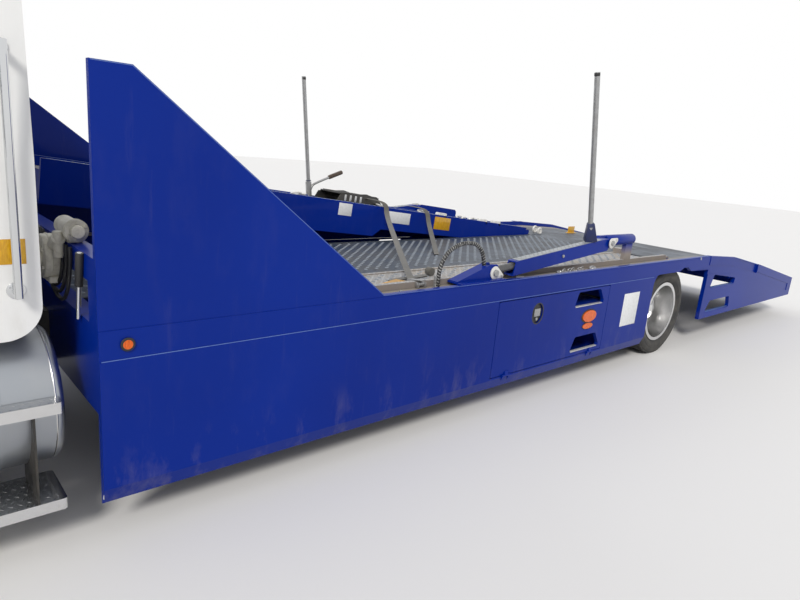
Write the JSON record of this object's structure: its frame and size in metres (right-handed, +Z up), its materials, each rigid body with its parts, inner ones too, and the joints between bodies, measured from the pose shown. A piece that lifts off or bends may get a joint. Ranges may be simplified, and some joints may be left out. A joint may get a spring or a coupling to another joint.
{
  "type": "car transporter truck",
  "caption": "Straight-frame car transporter truck with a conventional cab, a low steel body with step slots, two hinged lifting runways with struts, and a sloping tail.",
  "frame": {"origin": "on the ground under the middle of the vehicle's overall length and width", "axes": "+X to the front of the truck, +Y to its left side, +Z up"},
  "size_m": [12.55, 2.9, 2.7099],
  "materials": {
    "body_blue": "gloss",
    "cab_white": "gloss",
    "chassis_black": "satin",
    "polished_aluminium": "polished",
    "bright_chrome": "polished",
    "tyre_rubber": "matte",
    "window_glass": "clear",
    "lamp_lens": "clear",
    "deck_steel": "satin",
    "strut_grey": "satin",
    "amber_lens": "gloss",
    "red_lens": "gloss",
    "seat_fabric": "matte",
    "black_plastic": "matte",
    "engine_iron": "matte",
    "winch_cream": "satin"
  },
  "bodies": {
    "chassis": {"amber_lamps": "amber_lens", "body_side_left": "body_blue", "body_side_right": "body_blue", "cab_glass": "window_glass", "cab_floor_pan": "cab_white", "cab_shell": "cab_white", "cab_steps": "polished_aluminium", "chassis_frame": "chassis_black", "dashboard": "black_plastic", "deck_brackets": "body_blue", "deck_floor": "deck_steel", "deck_frame": "body_blue", "deck_walls": "body_blue", "locker_boxes": "body_blue", "cross_frame": "body_blue", "step_brackets": "chassis_black", "lift_hoses": "black_plastic", "engine_block": "engine_iron", "front_axle": "chassis_black", "front_bumper": "bright_chrome", "fuel_tanks": "polished_aluminium", "grab_handles": "bright_chrome", "leaf_springs": "chassis_black", "rear_axle": "chassis_black", "seats": "seat_fabric", "tail_frame": "body_blue", "tail_lamps": "red_lens", "tow_eyes": "chassis_black", "winch": "winch_cream"},
    "hood": {"hood": "cab_white", "grille": "bright_chrome", "headlamps": "lamp_lens"},
    "door_left": {"door_left": "cab_white", "door_glass_left": "window_glass", "mirror_left": "black_plastic"},
    "locker_door_left": {"locker_door_left": "body_blue", "side_lamps_left": "amber_lens"},
    "steering_left": {"steering_knuckle_left": "chassis_black"},
    "front_wheel_left": {"front_rim_left": "polished_aluminium", "front_tyre_left": "tyre_rubber"},
    "rear_wheels_left": {"rear_rims_left": "polished_aluminium", "rear_tyres_left": "tyre_rubber"},
    "runway_left": {"runway_left": "body_blue"},
    "lift_barrel_left": {"lift_barrel_left": "strut_grey"},
    "lift_sheath_left": {"lift_sheath_left": "body_blue", "guide_post_left": "strut_grey"},
    "door_right": {"door_right": "cab_white", "door_glass_right": "window_glass", "mirror_right": "black_plastic"},
    "locker_door_right": {"locker_door_right": "body_blue", "side_lamps_right": "amber_lens"},
    "steering_right": {"steering_knuckle_right": "chassis_black"},
    "front_wheel_right": {"front_rim_right": "polished_aluminium", "front_tyre_right": "tyre_rubber"},
    "rear_wheels_right": {"rear_rims_right": "polished_aluminium", "rear_tyres_right": "tyre_rubber"},
    "runway_right": {"runway_right": "body_blue", "guide_post_right": "strut_grey"},
    "lift_barrel_right": {"lift_barrel_right": "strut_grey"},
    "lift_sheath_right": {"lift_sheath_right": "body_blue"}
  },
  "joints": [
    {"name": "hood_tilt", "type": "hinge", "parent": "chassis", "child": "hood", "pos_m": [6.06, 0, 0.778], "axis": [0, 1, 0], "range_deg": [0, 60]},
    {"name": "door_left_swing", "type": "hinge", "parent": "chassis", "child": "door_left", "pos_m": [4.286, 1.134, 1.38], "axis": [0, 0, -1], "range_deg": [0, 70]},
    {"name": "locker_left_drop", "type": "hinge", "parent": "chassis", "child": "locker_door_left", "pos_m": [-0.41, 1.304, 0.274], "axis": [-1, 0, 0], "range_deg": [0, 90]},
    {"name": "steer_left", "type": "hinge", "parent": "chassis", "child": "steering_left", "pos_m": [5.4, 0.845, 0.445], "axis": [0, 0, 1], "range_deg": [-30, 30]},
    {"name": "front_wheel_left_spin", "type": "hinge", "parent": "steering_left", "child": "front_wheel_left", "pos_m": [5.4, 1.04, 0.445], "axis": [0, 1, 0], "continuous": true},
    {"name": "rear_wheels_left_spin", "type": "hinge", "parent": "chassis", "child": "rear_wheels_left", "pos_m": [-2.42, 1, 0.445], "axis": [0, 1, 0], "continuous": true},
    {"name": "runway_left_lift", "type": "hinge", "parent": "chassis", "child": "runway_left", "pos_m": [-2.47, 0.875, 0.975], "axis": [0, -1, 0], "range_deg": [0, 12]},
    {"name": "lift_barrel_left_pivot", "type": "hinge", "parent": "chassis", "child": "lift_barrel_left", "pos_m": [0.37, 1.2, 1.05], "axis": [0, 1, 0], "range_deg": [0, 9.48]},
    {"name": "lift_sheath_left_slide", "type": "slide", "parent": "lift_barrel_left", "child": "lift_sheath_left", "axis": [-0.9946, 0, 0.1036], "range_m": [0, 0.129]},
    {"name": "door_right_swing", "type": "hinge", "parent": "chassis", "child": "door_right", "pos_m": [4.286, -1.134, 1.38], "axis": [0, 0, 1], "range_deg": [0, 70]},
    {"name": "locker_right_drop", "type": "hinge", "parent": "chassis", "child": "locker_door_right", "pos_m": [-0.41, -1.304, 0.274], "axis": [1, 0, 0], "range_deg": [0, 90]},
    {"name": "steer_right", "type": "hinge", "parent": "chassis", "child": "steering_right", "pos_m": [5.4, -0.845, 0.445], "axis": [0, 0, 1], "range_deg": [-30, 30]},
    {"name": "front_wheel_right_spin", "type": "hinge", "parent": "steering_right", "child": "front_wheel_right", "pos_m": [5.4, -1.04, 0.445], "axis": [0, 1, 0], "continuous": true},
    {"name": "rear_wheels_right_spin", "type": "hinge", "parent": "chassis", "child": "rear_wheels_right", "pos_m": [-2.42, -1, 0.445], "axis": [0, 1, 0], "continuous": true},
    {"name": "runway_right_lift", "type": "hinge", "parent": "chassis", "child": "runway_right", "pos_m": [-2.47, -0.875, 0.975], "axis": [0, -1, 0], "range_deg": [-6, 6]},
    {"name": "lift_barrel_right_pivot", "type": "hinge", "parent": "chassis", "child": "lift_barrel_right", "pos_m": [0.37, -1.2, 1.05], "axis": [0, 1, 0], "range_deg": [-5.25, 5.25]},
    {"name": "lift_sheath_right_slide", "type": "slide", "parent": "lift_barrel_right", "child": "lift_sheath_right", "axis": [-0.9957, 0, 0.0922], "range_m": [-0.0369, 0.0369]}
  ],
  "couplings": [
    {"joint": "lift_barrel_left_pivot", "follows": "runway_left_lift", "ratio": 0.7778},
    {"joint": "lift_sheath_left_slide", "follows": "runway_left_lift", "m_per_rad": 0.6063},
    {"joint": "lift_barrel_right_pivot", "follows": "runway_right_lift", "ratio": 0.8504},
    {"joint": "lift_sheath_right_slide", "follows": "runway_right_lift", "m_per_rad": 0.3329},
    {"joint": "steer_right", "follows": "steer_left", "ratio": 1}
  ]
}
